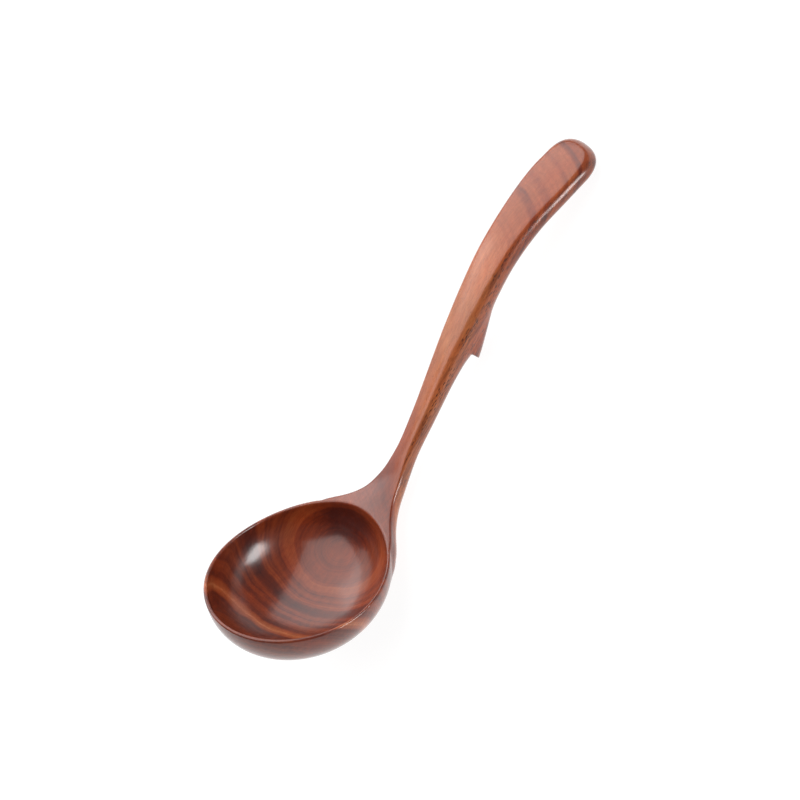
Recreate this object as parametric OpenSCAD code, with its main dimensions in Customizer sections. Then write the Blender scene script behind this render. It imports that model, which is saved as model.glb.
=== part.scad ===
// Carved hardwood soup ladle.
// One real piece of wood, given here as four named regions that meet face to
// face: the bowl, the flared neck, the curved handle and the hook under it.
// The shape is built in a frame with the bowl's mouth level, its centre at the
// origin and the handle towards +X, then laid down as it lies on a table:
// on the underside of the bowl and the end of the handle.

/* [Bowl] */
// Largest outer radius of the bowl
bowl_r = 42.1; // [38:0.1:46]
// Depth of the bowl outside, below the middle of its mouth
bowl_depth = 29.5; // [28:0.5:35]
// Thickness of the wall at the lip
lip_t = 1.6; // [1.2:0.1:3]
// Thickness of the wood at the bottom of the bowl
floor_t = 3.4; // [2.4:0.1:5]
// Fullness of the bowl's curve: 2 is an ellipse, more is boxier
bowl_full = 2.15; // [1.8:0.05:2.5]
// How far the deepest point sits towards the front
bowl_shift = 1.5; // [0:0.5:4]
// Rise of the mouth's edge at the front and the back
mouth_rise = 4.2; // [2:0.1:6]
// Extra rise of the mouth's edge at the neck, and drop at the front
mouth_tilt = 2.9; // [1:0.1:4]

/* [Handle] */
// Height of the crown across the handle's top face
crown = 0.8; // [0.3:0.1:1.5]
// Squareness of the handle's top edges: 2 is round, more is squarer
top_square = 3.6; // [2.5:0.1:5]
// Squareness of the handle's underside
under_square = 3; // [2:0.1:4]
// Length of the rounded end
end_round = 15; // [10:0.5:20]
// Squareness of the rounded end, seen from above
end_square = 2.3; // [2:0.1:3.2]

/* [Pot hook] */
// Depth of the hook's step below the handle's underside
hook_step = 6.2; // [3:0.1:8]
// Lean of the step face towards the bowl
hook_lean = 10; // [0:1:15]
// Length of the hook along the handle
hook_len = 30; // [24:1:36]

/* [Hidden] */
wood = "#7d4127";
wood_dark = "#6b3420";
wood_warm = "#8c4c2d";

// Stations down the middle of the top face, from inside the neck to the end
// of the handle: [x, z, half width, depth of wood under the top edge].
S = [
  [ 30.0,   3.3, 28.8, 19.5],
  [ 36.0,   5.0, 24.4, 15.5],
  [ 42.0,   7.2, 17.4, 12.5],
  [ 48.5,  10.4, 11.0, 10.8],
  [ 57.0,  16.2,  6.8,  9.2],
  [ 64.0,  22.8,  5.1,  8.5],
  [ 78.0,  37.2,  4.9,  8.8],
  [ 91.0,  52.0,  5.6, 10.4],
  [ 97.5,  59.5,  6.1, 12.2],
  [104.5,  67.0,  6.8, 13.4],
  [118.5,  81.0,  8.0, 12.2],
  [133.5,  94.0,  9.1, 11.0],
  [151.0, 104.5, 10.7,  9.9],
  [169.0, 112.0, 12.6,  9.3],
  [194.3, 120.0, 12.9,  8.6]
];
last = len(S) - 1;

// Distance along the stations
K = [for (i = 0, a = 0; i <= last;
          a = a + (i < last ? norm([S[i + 1][0] - S[i][0], S[i + 1][1] - S[i][1]]) : 0),
          i = i + 1) a];
total = K[last];
// Slope at each station
function secant(i) = (S[i + 1] - S[i]) / (K[i + 1] - K[i]);
D = [for (i = [0:last])
      i == 0 ? secant(0) :
      i == last ? secant(last - 1) :
      (secant(i - 1) * (K[i + 1] - K[i]) + secant(i) * (K[i] - K[i - 1])) / (K[i + 1] - K[i - 1])];
function seg(s, i = 0) = (i >= last - 1 || s < K[i + 1]) ? i : seg(s, i + 1);
// Station and direction at a distance s
function at(s) = let(i = seg(s), h = K[i + 1] - K[i], u = (s - K[i]) / h)
    S[i] * (2 * u^3 - 3 * u^2 + 1) + D[i] * h * (u^3 - 2 * u^2 + u)
  + S[i + 1] * (3 * u^2 - 2 * u^3) + D[i + 1] * h * (u^3 - u^2);
function dir(s) = let(a = at(max(s - 0.5, 0)), b = at(min(s + 0.5, total)))
    atan2(b[1] - a[1], b[0] - a[0]);
function spow(v, e) = sign(v) * pow(abs(v), e);

// One closed section across the handle. w is the half width, up and down are
// the heights of wood over and under the widest line, which lies e under the
// top edge, and lean tilts the section about the widest line.
n_sec = 32;
function section(s, w, up, down, e, mt, mb, lean = 0) =
    let(P = at(s), a = dir(s), nx = -sin(a), nz = cos(a))
    [for (j = [0:n_sec - 1])
        let(f = 360 * j / n_sec, c = cos(f), q = sin(f), m = q >= 0 ? mt : mb,
            y = w * spow(c, 2 / m),
            v = -e + (q >= 0 ? up : down) * spow(q, 2 / m),
            k = lean * (-v - e))
        [P[0] + nx * v - cos(a) * k, y, P[1] + nz * v - sin(a) * k]];
// Section of the neck and handle, narrowed near the end
function end_u(s) = max(0, (s - (total - end_round)) / end_round);
function narrow(s) = pow(max(0, 1 - pow(end_u(s), end_square)), 1 / end_square);
function thin(s) = let(r = 4.5, u = max(0, (s - (total - r)) / r)) sqrt(max(0, 1 - u * u));
function body_section(s) =
    let(P = at(s), e = 0.3 * P[3], g = thin(s), w = P[2],
        // flatter crown where the neck is wide
        cr = crown * min(1, 9 / w + 0.15),
        // rounder underside where the neck meets the bowl
        mb = under_square - (under_square - 1.9) * pow(max(0, 1 - s / K[5]), 0.7))
    section(s, w * narrow(s), (e + cr) * g, (P[3] - e) * g, e, top_square, mb);

cut_s = K[5];            // plane between neck and handle
neck_rings = [for (i = [0:14]) body_section(cut_s * i / 14)];
run = total - end_round;
handle_rings = concat(
    [for (i = [0:26]) body_section(cut_s + (run - cut_s) * i / 26)],
    [for (i = [1:9]) body_section(total - end_round * (1 - sin(i * 9.7)))]);

// Hook: its step face leans towards the bowl and its back runs up into the
// underside of the handle.
hook_s = K[9] - 5;
function hook_depth(u) = at(hook_s)[3] + hook_step - (hook_step + 3.6) * pow(u, 1.15);
function hook_section(u) =
    let(s = hook_s + hook_len * u, P = at(s), e = 0.45 * P[3])
    section(s, 0.84 * P[2], 0.8, hook_depth(u) - e, e, 2.6, 3,
            u == 0 ? tan(hook_lean) : tan(hook_lean) * max(0, 1 - 6 * u));
hook_rings = [for (i = [0:12]) hook_section(i / 12)];

// Bowl
n_bowl = 72;
function rim_z(x) = let(u = x / (bowl_r - lip_t / 2)) mouth_rise * u * u + mouth_tilt * u * u * u;
// A ring of the bowl: a runs from 0 at the mouth to 90 at the bottom
function bowl_ring(r, depth, a) =
    [for (j = [0:n_bowl - 1])
        let(f = 360 * j / n_bowl, rr = r * pow(cos(a), 2 / bowl_full), d = pow(sin(a), 2 / bowl_full),
            top = rim_z((bowl_r - lip_t / 2) * cos(f)) - lip_t / 2)
        [rr * cos(f) - bowl_shift * d, rr * sin(f), top * pow(1 - sin(a), 3) - depth * d]];
// A ring of the rounded lip: b runs from 0 outside over the crest to 180 inside
function lip_ring(b) =
    [for (j = [0:n_bowl - 1])
        let(f = 360 * j / n_bowl, r = bowl_r - lip_t / 2 + lip_t / 2 * cos(b),
            top = rim_z((bowl_r - lip_t / 2) * cos(f)) - lip_t / 2)
        [r * cos(f), r * sin(f), top + lip_t / 2 * sin(b)]];
steps = [88.5, 83, 76, 68, 59, 50, 41, 32, 24, 16, 9, 4];
outer_rings = [for (a = steps) bowl_ring(bowl_r, bowl_depth, a)];
lip_rings = [for (b = [0:30:180]) lip_ring(b)];
inner_rings = [for (i = [len(steps) - 1:-1:0]) bowl_ring(bowl_r - lip_t, bowl_depth - floor_t, steps[i])];
function lift(r, h) = [for (p = r) [p[0], p[1], h]];

// Closed skin over a list of equal rings
module skin(rings) {
  n = len(rings[0]);
  m = len(rings);
  polyhedron(
    points = [for (r = rings) for (p = r) p],
    faces = concat(
      [[for (j = [0:n - 1]) j]],
      [[for (j = [n - 1:-1:0]) (m - 1) * n + j]],
      [for (i = [0:m - 2]) for (j = [0:n - 1])
        let(k = (j + 1) % n) [i * n + j, (i + 1) * n + j, (i + 1) * n + k]],
      [for (i = [0:m - 2]) for (j = [0:n - 1])
        let(k = (j + 1) % n) [i * n + j, (i + 1) * n + k, i * n + k]]),
    convexity = 6);
}

// Laying the ladle down: turn about Y until the bowl and the end of the
// handle touch one level plane.
function flat(rr) = [for (r = rr) for (p = r) p];
bowl_pts = flat(concat(outer_rings, lip_rings));
handle_pts = flat(handle_rings);
function low(pts, a) = min([for (p = pts) p[2] * cos(a) - p[0] * sin(a)]);
function lay(lo, hi, n = 30) = let(m = (lo + hi) / 2)
    n == 0 ? m : low(handle_pts, m) > low(bowl_pts, m) ? lay(m, hi, n - 1) : lay(lo, m, n - 1);
pitch = lay(20, 55);
all_pts = concat(bowl_pts, handle_pts);
xs = [for (p = all_pts) p[0] * cos(pitch) + p[2] * sin(pitch)];
mid_x = (min(xs) + max(xs)) / 2;
base_z = low(all_pts, pitch);
module laid() { translate([-mid_x, 0, -base_z]) rotate([0, pitch, 0]) children(); }

module bowl() {
  color(wood) laid() skin(concat(outer_rings, lip_rings, inner_rings));
}
// Everything the bowl and its mouth take up, used to trim the neck
module bowl_space() {
  crest = lip_ring(90);
  skin(concat(outer_rings, [lip_ring(0), lip_ring(30), lip_ring(60), crest, lift(crest, 45)]));
}
module neck() {
  color(wood_dark) laid() resize([0, 0, 0]) difference() {
    skin(neck_rings);
    bowl_space();
  }
}
module handle() {
  color(wood_warm) laid() skin(handle_rings);
}
module pot_hook() {
  color(wood) laid() resize([0, 0, 0]) difference() {
    skin(hook_rings);
    skin(handle_rings);
  }
}

bowl();
neck();
handle();
pot_hook();
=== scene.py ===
import math

import bpy
import numpy as np
from mathutils import Matrix, Vector


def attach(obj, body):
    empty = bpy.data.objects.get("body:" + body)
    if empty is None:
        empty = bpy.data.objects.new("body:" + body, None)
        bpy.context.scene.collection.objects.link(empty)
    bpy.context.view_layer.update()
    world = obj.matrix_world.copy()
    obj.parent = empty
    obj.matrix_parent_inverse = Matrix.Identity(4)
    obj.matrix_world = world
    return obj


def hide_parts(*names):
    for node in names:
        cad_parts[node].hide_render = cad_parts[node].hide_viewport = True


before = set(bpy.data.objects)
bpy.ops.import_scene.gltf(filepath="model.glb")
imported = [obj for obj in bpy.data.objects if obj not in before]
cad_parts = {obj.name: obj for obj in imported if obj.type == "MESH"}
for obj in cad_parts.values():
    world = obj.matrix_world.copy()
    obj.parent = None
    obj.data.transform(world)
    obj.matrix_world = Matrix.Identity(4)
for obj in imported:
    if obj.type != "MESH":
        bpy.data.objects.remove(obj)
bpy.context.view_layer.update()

# ======================================================================
# The ladle's shape: one smooth closed surface around the same stations,
# bowl and hook as the CAD model. Millimetres, in the frame where the
# bowl's mouth is level, its centre at the origin, the handle towards +X.
# ======================================================================
PITCH, MID_X, BASE_Z = math.radians(38.8459), 93.3974, -35.0122
R_OUT, R_IN, R_CREST = 42.1, 40.5, 41.3
H_OUT, H_IN, FULL, SHIFT = 29.5, 26.1, 2.15, 1.5
RISE, TILT = 4.2, 2.9
# x, z, half width, depth of wood
S = np.array([
    [30.0, 3.3, 28.8, 19.5], [36.0, 5.0, 24.4, 15.5], [42.0, 7.2, 17.4, 12.5], [48.5, 10.4, 11.0, 10.8],
    [57.0, 16.2, 6.8, 9.2], [64.0, 22.8, 5.1, 8.5], [78.0, 37.2, 4.9, 8.8], [91.0, 52.0, 5.6, 10.4],
    [97.5, 59.5, 6.1, 12.2], [104.5, 67.0, 6.8, 13.4], [118.5, 81.0, 8.0, 12.2], [133.5, 94.0, 9.1, 11.0],
    [151.0, 104.5, 10.7, 9.9], [169.0, 112.0, 12.6, 9.3], [194.3, 120.0, 12.9, 8.6]])
NS = len(S)
K = np.concatenate([[0], np.cumsum(np.hypot(*(S[1:, :2] - S[:-1, :2]).T))])
SEC = (S[1:] - S[:-1]) / (K[1:] - K[:-1])[:, None]
DV = np.empty_like(S)
DV[0], DV[-1] = SEC[0], SEC[-1]
for i in range(1, NS - 1):
    DV[i] = (SEC[i - 1] * (K[i + 1] - K[i]) + SEC[i] * (K[i] - K[i - 1])) / (K[i + 1] - K[i - 1])
TOTAL = K[-1]


def station(s):
    s = np.asarray(s, float)
    i = np.clip(np.searchsorted(K, s, side='right') - 1, 0, NS - 2)
    h = K[i + 1] - K[i]
    u = ((s - K[i]) / h)[..., None]
    h = h[..., None]
    return (S[i] * (2 * u**3 - 3 * u**2 + 1) + DV[i] * h * (u**3 - 2 * u**2 + u)
            + S[i + 1] * (3 * u**2 - 2 * u**3) + DV[i + 1] * h * (u**3 - u**2))


def rim_z(x):
    u = x / R_CREST
    return RISE * u * u + TILT * u**3


END_L, END_M, END_SKEW = 15.0, 2.45, 0.2
HOOK_S, HOOK_LEN, HOOK_STEP, HOOK_LEAN = K[9] - 3.9, 30.0, 5.5, math.tan(math.radians(10))


def build_spine():
    xb = np.arange(-70, 30, 0.25)
    zb = rim_z(np.clip(xb, -44, 60))
    ss = np.arange(0, TOTAL + 1e-6, 0.25)
    P = station(ss)[:, :2]
    d = P[-1] - P[-4]
    d /= np.hypot(*d)
    ext = P[-1] + d * np.arange(0.25, 25, 0.25)[:, None]
    pts = np.concatenate([np.stack([xb, zb], 1), P, ext])
    L = np.concatenate([[0], np.cumsum(np.hypot(*(pts[1:] - pts[:-1]).T))])
    L -= L[len(xb)]
    t = np.gradient(pts, axis=0)
    for _ in range(12):
        t[1:-1] = (t[:-2] + 2 * t[1:-1] + t[2:]) / 4
    t /= np.hypot(t[:, 0], t[:, 1])[:, None]
    return pts, L, t


def smooth(a, n):
    a = a.copy()
    for _ in range(n):
        a[1:-1] = (a[:-2] + 2 * a[1:-1] + a[2:]) / 4
    return a


SP, SL, ST = build_spine()
w_tab = np.where(SL < 0, S[0, 2] - 0.35 * SL, station(np.clip(SL, 0, TOTAL))[:, 2])
t_tab = np.where(SL < 0, S[0, 3], station(np.clip(SL, 0, TOTAL))[:, 3])
w_tab, t_tab = smooth(w_tab, 30), smooth(t_tab, 30)
wd_tab = np.gradient(w_tab, SL)
mb_tab = smooth(np.interp(SL, [0, 12, 30, K[5], 110, 160, 206], [1.9, 2.0, 2.2, 2.35, 2.35, 2.6, 2.8]), 60)
cr_tab = np.interp(SL, [0, 12, 40, 60, 205], [0.0, 0.25, 0.7, 0.8, 1.1])
re_tab = smooth(np.interp(SL, [0, 12, 40, 70, 110, 150, 190, 205], [0.78, 0.9, 1.9, 3.5, 4.3, 4.0, 3.2, 3.0]), 60)
re_tab = re_tab + np.interp(SL, [186, 206], [0.0, 2.4])
w_tab = w_tab + smooth(np.interp(SL, [-12, 6, 15, 20, 26, 45, 70, 110, 160, 190, 206],
                                 [-1.2, -1.2, -0.9, -0.4, 0, 0.1, 0.95, 1.0, 0.75, 0.7, 1.5]), 60)

# the spine's coordinates (distance along, height over) on a grid
GX = np.arange(-60.0, 215, 1.0)
GZ = np.arange(-50.0, 150, 1.0)


def spine_grid():
    X, Z = np.meshgrid(GX, GZ, indexing='ij')
    Q = np.stack([X.ravel(), Z.ravel()], 1)
    s = np.empty(len(Q))
    v = np.empty(len(Q))
    for a in range(0, len(Q), 8000):
        q = Q[a:a + 8000]
        d = ((q[:, None, :] - SP[None])**2).sum(-1)
        i = d.argmin(1)
        r = q - SP[i]
        T = ST[i]
        s[a:a + 8000] = SL[i] + (r * T).sum(1)
        v[a:a + 8000] = r[:, 1] * T[:, 0] - r[:, 0] * T[:, 1]
    return s.reshape(X.shape), v.reshape(X.shape)


GS, GV = spine_grid()


def bil(G, x, z):
    i = np.clip(x - GX[0], 0, len(GX) - 1.001)
    k = np.clip(z - GZ[0], 0, len(GZ) - 1.001)
    a = i.astype(int)
    b = k.astype(int)
    f = i - a
    g = k - b
    return (G[a, b] * (1 - f) * (1 - g) + G[a + 1, b] * f * (1 - g)
            + G[a, b + 1] * (1 - f) * g + G[a + 1, b + 1] * f * g)


def rmax(a, b, r):
    """Intersection with an edge rounded to radius r."""
    return np.minimum(np.maximum(a, b), -r) + np.hypot(np.maximum(a + r, 0), np.maximum(b + r, 0))


def smin(a, b, k):
    """Union with a soft fillet."""
    h = np.clip(0.5 + 0.5 * (b - a) / k, 0, 1)
    return b + (a - b) * h - k * h * (1 - h)


def cup(x, y, z, R, H):
    """The bowl's curve as a distance; straight above the mouth's level."""
    d = np.clip(-z / H, 0, 1.3)
    r = np.hypot(x + SHIFT * d, y)
    A, B = np.maximum(r / R, 1e-6), d
    g = (A**FULL + B**FULL)**(1 / FULL)
    gr = (A / g)**(FULL - 1) / R
    gz = (B / g)**(FULL - 1) / H
    return (g - 1) / np.hypot(gr, gz)


def field(P):
    """Signed distance, near enough, at points P in the level frame."""
    x, y, z = P[..., 0], P[..., 1], P[..., 2]
    s, v = bil(GS, x, z), bil(GV, x, z)
    w = np.interp(s, SL, w_tab)
    wd = np.interp(s, SL, wd_tab)
    t = np.interp(s, SL, t_tab)
    mb = np.interp(s, SL, mb_tab)
    cr = np.interp(s, SL, cr_tab)
    re = np.interp(s, SL, re_tab)
    ay = np.abs(y)
    e = 0.3 * t
    # rounded end, seen from above
    u = np.clip(s - (TOTAL - END_L + 1.0) - END_SKEW * y, 0, None) / END_L

    def under(w, t, mb):
        q = np.clip(-(v + e), 0, None)
        down = t - e
        A0, B = ay / w, q / down
        A = (A0**END_M + u**END_M)**(1 / END_M) + 1e-9
        g = (A**mb + B**mb)**(1 / mb) + 1e-9
        ga = (A / g)**(mb - 1)
        gb = (B / g)**(mb - 1)
        ay_ = (A0 / A)**(END_M - 1) / w
        as_ = (u / A)**(END_M - 1) / END_L
        return (g - 1) / np.maximum(np.sqrt((ga * ay_)**2 + (ga * as_)**2 + (gb / down)**2 + (ga * A0 * wd / w)**2), 0.02)
    # the underside swells a little just before the step
    t = t + 1.3 * np.exp(-((HOOK_S - s) / 4.5)**2) * (s < HOOK_S)
    body = under(w, t, mb)
    # hook: a deeper underside over a short length, cut off by the step face
    uh = np.clip((s - HOOK_S) / HOOK_LEN, -0.2, 1)
    root = np.interp(HOOK_S, SL, t_tab)
    th = root + HOOK_STEP - (HOOK_STEP + 3.6) * np.sign(uh) * np.abs(uh)**1.15
    th = np.maximum(th, 1.0)
    step = (HOOK_S - s) - HOOK_LEAN * (-v - root * 0.45)
    hk = under(w * (0.97 - 0.12 * np.clip(uh, 0, 1)), np.maximum(th, e + 1.0), 3.6)
    hk = rmax(hk, step, 0.5)
    hk = np.where(s > HOOK_S + HOOK_LEN, 50.0, hk)
    body = smin(body, hk, 0.8)
    bowl = cup(x, y, z, R_OUT, H_OUT)
    # the neck's ridge runs softly into the back of the bowl
    k = np.interp(x, [10, 30, 45, 62, 70], [0.5, 3.0, 6.0, 5.0, 0.5])
    k = np.maximum(k * np.clip(-v / 9.0, 0, 1), 0.1)
    body = np.where(x < 12, 50.0, body)
    U = smin(bowl, body, k)
    # the top face is slightly crowned, and drops towards the end
    top = v - cr * (1 - np.clip(y / w, -1, 1)**2) + 1.9 * np.minimum(u, 1.5)**2
    F = rmax(U, top, re)
    hollow = cup(x, y, z, R_IN, H_IN)
    F = rmax(F, -hollow, 0.78)
    # the level surface it lies on
    lift = BASE_Z - (math.cos(PITCH) * z - math.sin(PITCH) * x)
    return rmax(F, lift, 0.6)


def to_level(Q):
    """Row frame (mm) to the level frame."""
    X = Q[..., 0] + MID_X
    Z = Q[..., 2] + BASE_Z
    c, s = math.cos(PITCH), math.sin(PITCH)
    return np.stack([c * X - s * Z, Q[..., 1], s * X + c * Z], -1)


def to_row(P):
    c, s = math.cos(PITCH), math.sin(PITCH)
    return np.stack([c * P[..., 0] + s * P[..., 2] - MID_X, P[..., 1],
                     -s * P[..., 0] + c * P[..., 2] - BASE_Z], -1)


def turn_row(v):
    """A direction from the level frame to the row frame."""
    c, s = math.cos(PITCH), math.sin(PITCH)
    return Vector((c * v[0] + s * v[2], v[1], -s * v[0] + c * v[2]))


def grad(f, Q, h=0.04):
    G = np.empty_like(Q)
    for i in range(3):
        d = np.zeros(3)
        d[i] = h
        G[:, i] = (f(Q + d) - f(Q - d)) / (2 * h)
    return G


def surface_nets(f, lo, hi, h):
    n = np.ceil((hi - lo) / h).astype(int) + 1
    ax = [lo[i] + h * np.arange(n[i]) for i in range(3)]
    F = np.empty(n)
    for i in range(0, n[0], 24):
        X, Y, Z = np.meshgrid(ax[0][i:i + 24], ax[1], ax[2], indexing='ij')
        F[i:i + 24] = f(np.stack([X, Y, Z], -1))
    neg = F < 0
    c = [neg[a:n[0] - 1 + a, b:n[1] - 1 + b, d:n[2] - 1 + d] for a in (0, 1) for b in (0, 1) for d in (0, 1)]
    cnt = sum(q.astype(np.int8) for q in c)
    act = (cnt > 0) & (cnt < 8)
    idx = -np.ones(act.shape, int)
    cells = np.argwhere(act)
    idx[act] = np.arange(len(cells))
    pos = np.zeros((len(cells), 3))
    num = np.zeros(len(cells))
    I, J, L = cells.T
    for axis in range(3):
        for a in (0, 1):
            for b in (0, 1):
                o = [0, 0, 0]
                others = [q for q in range(3) if q != axis]
                o[others[0]], o[others[1]] = a, b
                p0 = F[I + o[0], J + o[1], L + o[2]]
                o2 = list(o)
                o2[axis] = 1
                p1 = F[I + o2[0], J + o2[1], L + o2[2]]
                m = (p0 < 0) != (p1 < 0)
                t = np.where(m, p0 / np.where(m, p0 - p1, 1), 0)
                q = np.zeros((len(cells), 3))
                q[:, 0], q[:, 1], q[:, 2] = o
                q[:, axis] = t
                pos += np.where(m[:, None], q, 0)
                num += m
    V = lo + h * (cells + pos / num[:, None])
    quads = []
    for axis in range(3):
        others = [q for q in range(3) if q != axis]
        sl0 = [slice(None)] * 3
        sl1 = [slice(None)] * 3
        sl0[axis] = slice(0, -1)
        sl1[axis] = slice(1, None)
        m = neg[tuple(sl0)] != neg[tuple(sl1)]
        E = np.argwhere(m)
        keep = ((E[:, others[0]] > 0) & (E[:, others[1]] > 0)
                & (E[:, others[0]] < n[others[0]] - 1) & (E[:, others[1]] < n[others[1]] - 1))
        E = E[keep]
        first = neg[tuple(E.T)]

        def cell(a, b):
            C = E.copy()
            C[:, others[0]] -= a
            C[:, others[1]] -= b
            return idx[tuple(C.T)]
        q = np.stack([cell(1, 1), cell(0, 1), cell(0, 0), cell(1, 0)], 1)
        flip = first if axis != 1 else ~first
        q[~flip] = q[~flip][:, ::-1]
        quads.append(q)
    return V, np.concatenate(quads)


def make_mesh(h, rounds=4):
    f = lambda Q: field(to_level(Q))
    lo, hi = np.array([-135.3, -44.7, -1.9]), np.array([134.9, 44.9, 66.0])
    V, Q = surface_nets(f, lo, hi, h)
    E = np.concatenate([Q[:, [0, 1]], Q[:, [1, 2]], Q[:, [2, 3]], Q[:, [3, 0]]])
    n = len(V)
    deg = np.bincount(E.ravel(), minlength=n).astype(float)
    for k in range(rounds):
        for _ in range(2):
            g = grad(f, V)
            l2 = (g * g).sum(1)
            V = V - np.clip(f(V) / np.maximum(l2, 0.05), -h, h)[:, None] * g
        if k < rounds - 1:
            A = np.zeros((n, 3))
            for a in range(3):
                A[:, a] = (np.bincount(E[:, 0], V[E[:, 1], a], n) + np.bincount(E[:, 1], V[E[:, 0], a], n)) / deg
            d = A - V
            nn = g / np.maximum(np.sqrt(l2), 1e-6)[:, None]
            d -= (d * nn).sum(1)[:, None] * nn
            V = V + 0.6 * d
    return V, Q


V, Q = make_mesh(0.642)
mesh = bpy.data.meshes.new("ladle_wood")
mesh.from_pydata((V / 1000).tolist(), [], Q.tolist())
mesh.validate()
mesh.polygons.foreach_set("use_smooth", np.ones(len(mesh.polygons), bool))
mesh.update()
ladle = bpy.data.objects.new("ladle_wood", mesh)
bpy.context.scene.collection.objects.link(ladle)


# ---------------------------------------------------------------- growth layers
# Where each point lies in the tree's growth layers, in millimetres. In the
# bowl the layers open out round one spot near the neck; along the handle
# they lie nearly level and come up to its top face in arcs.
def sstep(a, b, x):
    t = np.clip((x - a) / (b - a), 0, 1)
    return t * t * (3 - 2 * t)


def layers(P):
    x, y, z = P.T
    d = P - np.array([-85.0, 13.3, 4.4])
    m = np.array([0.12, -0.24, 0.963])
    m /= np.linalg.norm(m)
    u1 = np.array([1.0, 0, 0]) - m * m[0]
    u1 /= np.linalg.norm(u1)
    v1 = np.cross(m, u1)
    u, v = d @ u1, d @ v1
    rr = np.sqrt(np.maximum(QA * u * u + QB * v * v + 2 * QC * u * v + 10 * QD * u + 10 * QE * v + 4, 0))
    zh = 30.0 + z - 0.2 * x + 0.22 * y
    return rr, zh


QA, QB, QC, QD, QE = 1.2, 0.8, 0.17, -1.0, 0.2
DARK_WOOD_AND_SHADE_AT = np.array([-66.0, 12.5, 8.0])
rr, zh = layers(V)
a = mesh.attributes.new("bowl_layer", 'FLOAT', 'POINT')
a.data.foreach_set("value", rr.astype(np.float32))
a = mesh.attributes.new("handle_layer", 'FLOAT', 'POINT')
a.data.foreach_set("value", zh.astype(np.float32))
a = mesh.attributes.new("in_handle", 'FLOAT', 'POINT')
PL = to_level(V)
inside = cup(PL[:, 0], PL[:, 1], PL[:, 2], R_IN + 0.35, H_IN + 0.35) < 0
hand = np.where(inside, 0.0, sstep(-84, -62, V[:, 0]))
a.data.foreach_set("value", hand.astype(np.float32))

# darker spot inside the bowl, just under the rim by the neck: partly darker wood, partly painted shade where the rim
# and neck keep the light out
a = mesh.attributes.new("dark_wood_and_shade_patch", 'FLOAT', 'POINT')
dp = (V - DARK_WOOD_AND_SHADE_AT) / np.array([13.0, 13.0, 10.0])
a.data.foreach_set("value", (np.exp(-(dp * dp).sum(1)) * inside).astype(np.float32))
a = mesh.attributes.new("edge_grain", 'FLOAT', 'POINT')
a.data.foreach_set("value", sstep(-54, -36, V[:, 0]).astype(np.float32))

# ======================================================================
# Material: reddish-brown open-pored hardwood under a satin lacquer
# ======================================================================
mat = bpy.data.materials.new("lacquered_hardwood")
mat.use_nodes = True
nt = mat.node_tree
nt.nodes.clear()


def N(kind, **kw):
    n = nt.nodes.new(kind)
    for k, v in kw.items():
        if isinstance(v, tuple) and k.startswith("in_"):
            n.inputs[k[3:]].default_value = v
        else:
            setattr(n, k, v)
    return n


def link(a, b):
    nt.links.new(a, b)


def out(n, name=0):
    return n.outputs[name]


def val(op, a, b=None, c=None, clamp=False):
    n = N("ShaderNodeMath", operation=op, use_clamp=clamp)
    for i, x in enumerate((a, b, c)):
        if x is None:
            continue
        if isinstance(x, (int, float)):
            n.inputs[i].default_value = x
        else:
            link(x, n.inputs[i])
    return n.outputs[0]


def mixf(f, a, b):
    n = N("ShaderNodeMix", data_type='FLOAT')
    for i, x in ((0, f), (2, a), (3, b)):
        if isinstance(x, (int, float)):
            n.inputs[i].default_value = x
        else:
            link(x, n.inputs[i])
    return n.outputs[0]


def mixc(f, a, b, how='MIX'):
    n = N("ShaderNodeMix", data_type='RGBA', blend_type=how)
    for i, x in ((0, f), (6, a), (7, b)):
        if isinstance(x, (int, float)):
            n.inputs[i].default_value = x
        elif isinstance(x, tuple):
            n.inputs[i].default_value = (*x, 1.0)
        else:
            link(x, n.inputs[i])
    return n.outputs[2]


def ramp(f, stops, interp='EASE'):
    n = N("ShaderNodeValToRGB")
    n.color_ramp.interpolation = interp
    el = n.color_ramp.elements
    el[0].position, el[1].position = stops[0][0], stops[-1][0]
    for p, c in stops[1:-1]:
        el.new(p)
    for e, (p, c) in zip(el, stops):
        e.color = (c, c, c, 1) if isinstance(c, (int, float)) else (*c, 1)
    link(f, n.inputs[0])
    return n.outputs[0]


def noise(vec, scale, detail=3.0, rough=0.5, dist=0.0):
    n = N("ShaderNodeTexNoise")
    n.inputs["Scale"].default_value = scale
    n.inputs["Detail"].default_value = detail
    n.inputs["Roughness"].default_value = rough
    n.inputs["Distortion"].default_value = dist
    link(vec, n.inputs["Vector"])
    return n.outputs["Fac"]


def stretch(vec, sx, sy, sz, off=(0, 0, 0)):
    n = N("ShaderNodeMapping")
    n.inputs["Scale"].default_value = (sx, sy, sz)
    n.inputs["Location"].default_value = off
    link(vec, n.inputs["Vector"])
    return n.outputs[0]


def attr(name):
    n = N("ShaderNodeAttribute", attribute_name=name)
    return n.outputs["Fac"]


def N1(x):
    n = N("ShaderNodeCombineXYZ")
    link(x, n.inputs[0])
    return n.outputs[0]


obj = N("ShaderNodeTexCoord").outputs["Object"]
RRa, ZHa, HAN = attr("bowl_layer"), attr("handle_layer"), attr("in_handle")

# slow wander of the layers, in millimetres
wob1 = val('MULTIPLY', val('SUBTRACT', noise(stretch(obj, 14, 30, 30), 1.0, 2.0), 0.5), 5.5)
wob2 = val('MULTIPLY', val('SUBTRACT', noise(stretch(obj, 60, 160, 160, (3, 1, 2)), 1.0, 2.0), 0.5), 0.7)
RR = val('ADD', val('ADD', RRa, wob1), wob2)
ZH = val('ADD', ZHa, val('MULTIPLY', val('ADD', wob1, wob2), 0.3))


def mm(stops, top):
    return [(p / top, c) for p, c in stops]


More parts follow.
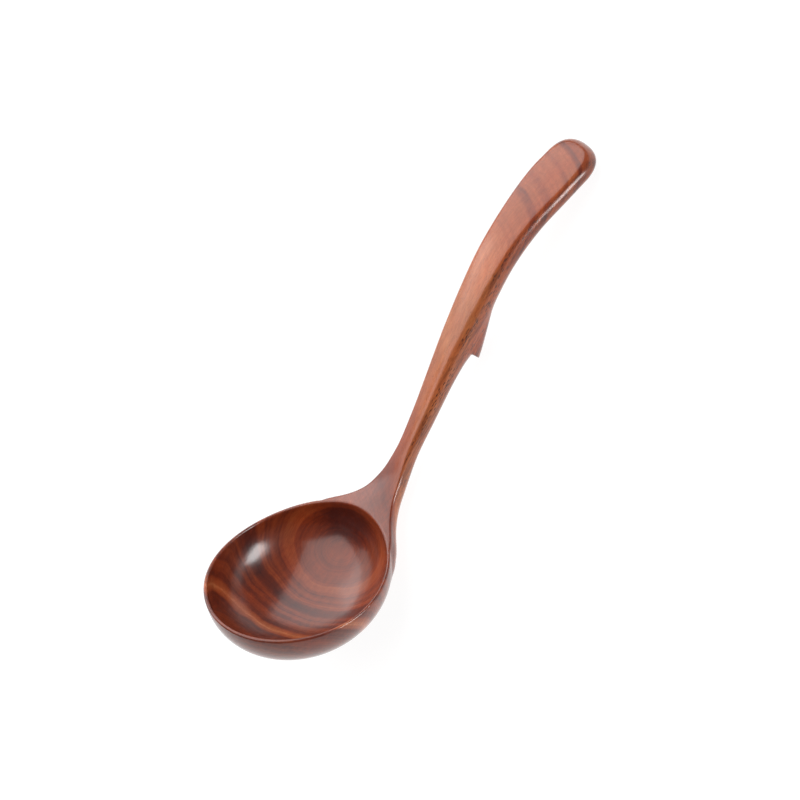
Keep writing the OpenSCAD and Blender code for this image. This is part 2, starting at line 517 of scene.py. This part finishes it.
# how dark (1) or pale (0) each layer is
b_dark = ramp(val('DIVIDE', RR, 80.0), mm([
    (0, 0.50), (6, 0.58), (9, 0.66), (12, 0.58), (17, 0.68), (20, 0.46), (23, 0.48), (25.2, 0.74), (27, 0.56),
    (28.5, 0.70), (30.2, 0.52), (32, 0.80), (34, 0.92), (35.8, 0.84), (37, 0.58), (38.4, 0.78), (39.8, 0.60),
    (41.4, 0.86), (43.2, 0.58), (44.4, 0.66), (46, 0.80), (47.8, 0.42), (49.0, 0.14), (49.8, 0.40), (51.2, 0.80),
    (53.5, 0.80), (56, 0.66), (58.5, 0.74), (62, 0.64), (68, 0.58), (80, 0.5)], 80.0))
h_dark = ramp(val('DIVIDE', ZH, 100.0), mm([
    (8, 0.50), (12, 0.46), (14.6, 0.48), (15.4, 0.76), (16.0, 0.68), (17.2, 0.38), (19.5, 0.34), (20.6, 0.52),
    (22, 0.36), (25, 0.36), (27.0, 0.52), (28.4, 0.36), (30.0, 0.40), (30.7, 0.70), (31.3, 0.64), (32.6, 0.34),
    (37, 0.32), (41, 0.18), (44, 0.13), (47, 0.12), (48.5, 0.42), (50.5, 0.72), (54, 0.68), (60, 0.56), (80, 0.40), (100, 0.34)], 100.0))
dark = mixf(HAN, b_dark, h_dark)
# the darker spot under the rim by the neck: darker wood plus painted shade
dark = val('ADD', dark, val('MULTIPLY', attr("dark_wood_and_shade_patch"), 0.55))
# uneven strength along and across the layers, and fine rings inside the broad ones
patch = noise(stretch(obj, 30, 70, 70, (5, 2, 1)), 1.0, 3.0)
dark = val('ADD', val('MULTIPLY', val('SUBTRACT', dark, 0.45), mixf(patch, 0.55, 1.45)), 0.45)
fine = noise(stretch(obj, 20, 60, 60, (5, 2, 1)), 1.0, 2.0)
lay = mixf(HAN, RR, ZH)
rings = noise(N1(val('ADD', val('MULTIPLY', lay, 0.9), val('MULTIPLY', fine, 3.0))), 1.0, 3.0, 0.6)
dark = val('ADD', dark, val('MULTIPLY', val('SUBTRACT', rings, 0.5), mixf(HAN, 0.62, 0.40)), clamp=True)
blot2 = noise(stretch(obj, 140, 500, 500, (2, 2, 1)), 1.0, 3.0, 0.6)
dark = val('ADD', dark, val('MULTIPLY', val('SUBTRACT', blot2, 0.5), 0.30), clamp=True)

wood = ramp(dark, [(0.0, (0.520, 0.175, 0.068)), (0.28, (0.370, 0.086, 0.024)), (0.55, (0.245, 0.042, 0.011)),
                   (0.80, (0.130, 0.020, 0.008)), (1.0, (0.066, 0.011, 0.008))], 'LINEAR')

# fibres: long fine streaks along the ladle
fib = noise(stretch(obj, 90, 1500, 1500), 1.0, 4.0, 0.6)
wood = mixc(0.38, wood, ramp(fib, [(0.25, 0.30), (0.5, 0.5), (0.78, 0.72)], 'LINEAR'), 'OVERLAY')
# soft blotches of redder and yellower wood
blot = noise(stretch(obj, 25, 60, 60, (7, 7, 1)), 1.0, 3.0)
wood = mixc(ramp(blot, [(0.42, 0.0), (0.68, 0.55)], 'LINEAR'), wood, mixc(1.0, wood, (1.25, 0.92, 0.70), 'MULTIPLY'))


def pores(sx, sw, off, lo, hi):
    vor = N("ShaderNodeTexVoronoi", feature='F1', distance='EUCLIDEAN')
    vor.inputs["Scale"].default_value = 1.0
    vor.inputs["Randomness"].default_value = 1.0
    link(stretch(obj, sx, sw, sw, off), vor.inputs["Vector"])
    p = ramp(vor.outputs["Distance"], [(lo, 1.0), (hi, 0.0)], 'LINEAR')
    keep = ramp(noise(stretch(obj, sx / 6, sw / 6, sw / 6, (1, 4, 2)), 1.0, 3.0), [(0.38, 0.0), (0.54, 1.0)], 'LINEAR')
    return val('MULTIPLY', p, keep)


# pores: short dark dashes along the fibre, small on the faces, and wide open
# where the handle's sides cut across the board
pore = pores(420, 3400, (0, 0, 0), 0.12, 0.34)
wide = pores(340, 1700, (3, 1, 4), 0.20, 0.46)
geo = N("ShaderNodeNewGeometry")
sep = N("ShaderNodeSeparateXYZ")
link(geo.outputs["Normal"], sep.inputs[0])
side = ramp(val('ABSOLUTE', sep.outputs["Y"]), [(0.45, 0.0), (0.72, 1.0)], 'LINEAR')
side = val('MULTIPLY', side, attr("edge_grain"))
pore_all = val('MAXIMUM', val('MULTIPLY', pore, 0.45), val('MULTIPLY', wide, side))
# the side faces' own grain: warmer, broken by dark flecks
wood = mixc(val('MULTIPLY', side, 0.8), wood, mixc(1.0, wood, (0.92, 0.86, 0.62), 'MULTIPLY'))
streak = ramp(noise(stretch(obj, 45, 620, 620, (2, 6, 3)), 1.0, 3.0), [(0.46, 0.0), (0.62, 1.0)], 'LINEAR')
wood = mixc(val('MULTIPLY', val('MULTIPLY', side, streak), 0.65), wood, mixc(1.0, wood, (0.42, 0.34, 0.34), 'MULTIPLY'))
wood = mixc(pore_all, wood, (0.050, 0.013, 0.007))

bsdf = N("ShaderNodeBsdfPrincipled")
link(wood, bsdf.inputs["Base Color"])
bsdf.inputs["IOR"].default_value = 1.45
bsdf.inputs["Specular IOR Level"].default_value = 0.15
link(ramp(dark, [(0.0, 0.50), (1.0, 0.42)], 'LINEAR'), bsdf.inputs["Roughness"])
bsdf.inputs["Coat Weight"].default_value = 1.0
bsdf.inputs["Coat Roughness"].default_value = 0.20
bsdf.inputs["Coat IOR"].default_value = 1.5
# relief: pores and fibres telegraph through the lacquer
h = val('SUBTRACT', val('MULTIPLY', fib, 0.35), pore_all)
bump = N("ShaderNodeBump")
bump.inputs["Strength"].default_value = 0.35
bump.inputs["Distance"].default_value = 0.00012
link(h, bump.inputs["Height"])
link(bump.outputs[0], bsdf.inputs["Normal"])
slow = N("ShaderNodeBump")
slow.inputs["Strength"].default_value = 0.25
slow.inputs["Distance"].default_value = 0.00025
link(noise(stretch(obj, 120, 260, 260), 1.0, 2.0), slow.inputs["Height"])
link(slow.outputs[0], bsdf.inputs["Coat Normal"])
mo = N("ShaderNodeOutputMaterial")
link(bsdf.outputs[0], mo.inputs[0])
mesh.materials.append(mat)

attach(ladle, "root")
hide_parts("bowl", "neck", "handle", "pot_hook")

# ======================================================================
# Floor, light, camera
# ======================================================================
fm = bpy.data.materials.new("pale_floor")
fm.use_nodes = True
fn = fm.node_tree.nodes["Principled BSDF"]
fn.inputs["Base Color"].default_value = (0.15, 0.15, 0.15, 1)
fn.inputs["Roughness"].default_value = 0.9
fn.inputs["Specular IOR Level"].default_value = 0.0
fn.inputs["Emission Color"].default_value = (1, 1, 1, 1)
fn.inputs["Emission Strength"].default_value = 0.94
fmesh = bpy.data.meshes.new("floor")
R = 8.0
ring = [(R * math.cos(2 * math.pi * i / 64), R * math.sin(2 * math.pi * i / 64), 0.0) for i in range(64)]
fmesh.from_pydata(ring, [], [list(range(64))])
fmesh.materials.append(fm)
floor = bpy.data.objects.new("floor", fmesh)
bpy.context.scene.collection.objects.link(floor)

world = bpy.data.worlds.new("studio")
bpy.context.scene.world = world
world.use_nodes = True
wn = world.node_tree
wn.nodes.clear()
lp = wn.nodes.new("ShaderNodeLightPath")
bg1 = wn.nodes.new("ShaderNodeBackground")
bg1.inputs[0].default_value = (1, 1, 1, 1)
bg1.inputs[1].default_value = 0.14
bg2 = wn.nodes.new("ShaderNodeBackground")
bg2.inputs[0].default_value = (1, 1, 1, 1)
bg2.inputs[1].default_value = 1.0
mx = wn.nodes.new("ShaderNodeMixShader")
wo = wn.nodes.new("ShaderNodeOutputWorld")
wn.links.new(lp.outputs["Is Camera Ray"], mx.inputs[0])
wn.links.new(bg1.outputs[0], mx.inputs[1])
wn.links.new(bg2.outputs[0], mx.inputs[2])
wn.links.new(mx.outputs[0], wo.inputs[0])


def area(name, direction, dist, sx, sy, radiance, target, xaxis=None, shape='RECTANGLE', color=(1, 1, 1)):
    d = Vector(direction).normalized()
    L = bpy.data.lights.new(name, 'AREA')
    L.shape = shape
    L.size = sx
    if shape in ('RECTANGLE', 'ELLIPSE'):
        L.size_y = sy
    A = sx * sy if shape == 'RECTANGLE' else math.pi * sx * sy / 4
    L.energy = radiance * math.pi * A
    L.color = color
    o = bpy.data.objects.new(name, L)
    zc = d
    xa = Vector(xaxis) if xaxis else Vector((0, 0, 1)).cross(zc)
    xa = (xa - zc * xa.dot(zc)).normalized()
    ya = zc.cross(xa)
    M = Matrix((xa, ya, zc)).transposed().to_4x4()
    M.translation = Vector(target) + d * dist
    o.matrix_world = M
    o.visible_camera = False
    bpy.context.scene.collection.objects.link(o)
    return o


# big overhead softbox, whose reflection lies over the handle's top and half the bowl
e1, e2 = Vector((0.689, 0.647, -0.326)), Vector((-0.713, 0.686, -0.144))
c0 = Vector((0.131, 0.332, 0.934))
cd = (c0 + e1 * 0.18 - e2 * 0.05).normalized()
area("softbox", cd, 0.95, 2.15, 1.05, 2.25, (-0.06, 0.0, 0.01), xaxis=e1)
# white panel behind the ladle, whose reflection carries the sheen over the handle's far edge
area("back_panel", (-0.153, 0.870, 0.469), 0.5, 0.46, 0.34, 1.35, (0.0, 0.0, 0.05))
# round lamp at the front right: a soft part, and a brighter core that only makes the highlights
area("round_lamp", (0.462, -0.869, 0.165), 1.6, 0.98, 0.98, 3.2, (-0.10, 0.037, 0.026), shape='DISK')
core = area("lamp_core", (0.452, -0.885, 0.080), 1.58, 0.84, 0.84, 9.5, (-0.10, 0.037, 0.026), shape='ELLIPSE')
core.visible_diffuse = False

# camera: the photograph's angle, given in the level frame
ca, ce, cr_ = math.radians(-31), math.radians(38.274), math.radians(13.309)
B = Vector((math.sin(ca) * math.cos(ce), -math.cos(ca) * math.cos(ce), math.sin(ce)))
Rt = Vector((math.cos(ca), math.sin(ca), 0))
U = B.cross(Rt)
R2 = Rt * math.cos(cr_) - U * math.sin(cr_)
U2 = Rt * math.sin(cr_) + U * math.cos(cr_)
C = B * 800 + R2 * 45.061 + U2 * 75.559
Cr = to_row(np.array([list(C)]))[0] / 1000
cam = bpy.data.cameras.new("camera")
cam.sensor_width = 36
cam.lens = 36 * 2.279
cam.clip_start, cam.clip_end = 0.01, 100
co = bpy.data.objects.new("camera", cam)
M = Matrix((turn_row(R2), turn_row(U2), turn_row(B))).transposed().to_4x4()
M.translation = Vector(Cr)
co.matrix_world = M
bpy.context.scene.collection.objects.link(co)
bpy.context.scene.camera = co

vs = bpy.context.scene.view_settings
vs.view_transform = 'Standard'
vs.look = 'None'
vs.exposure = 0
vs.gamma = 1

bpy.context.view_layer.update()
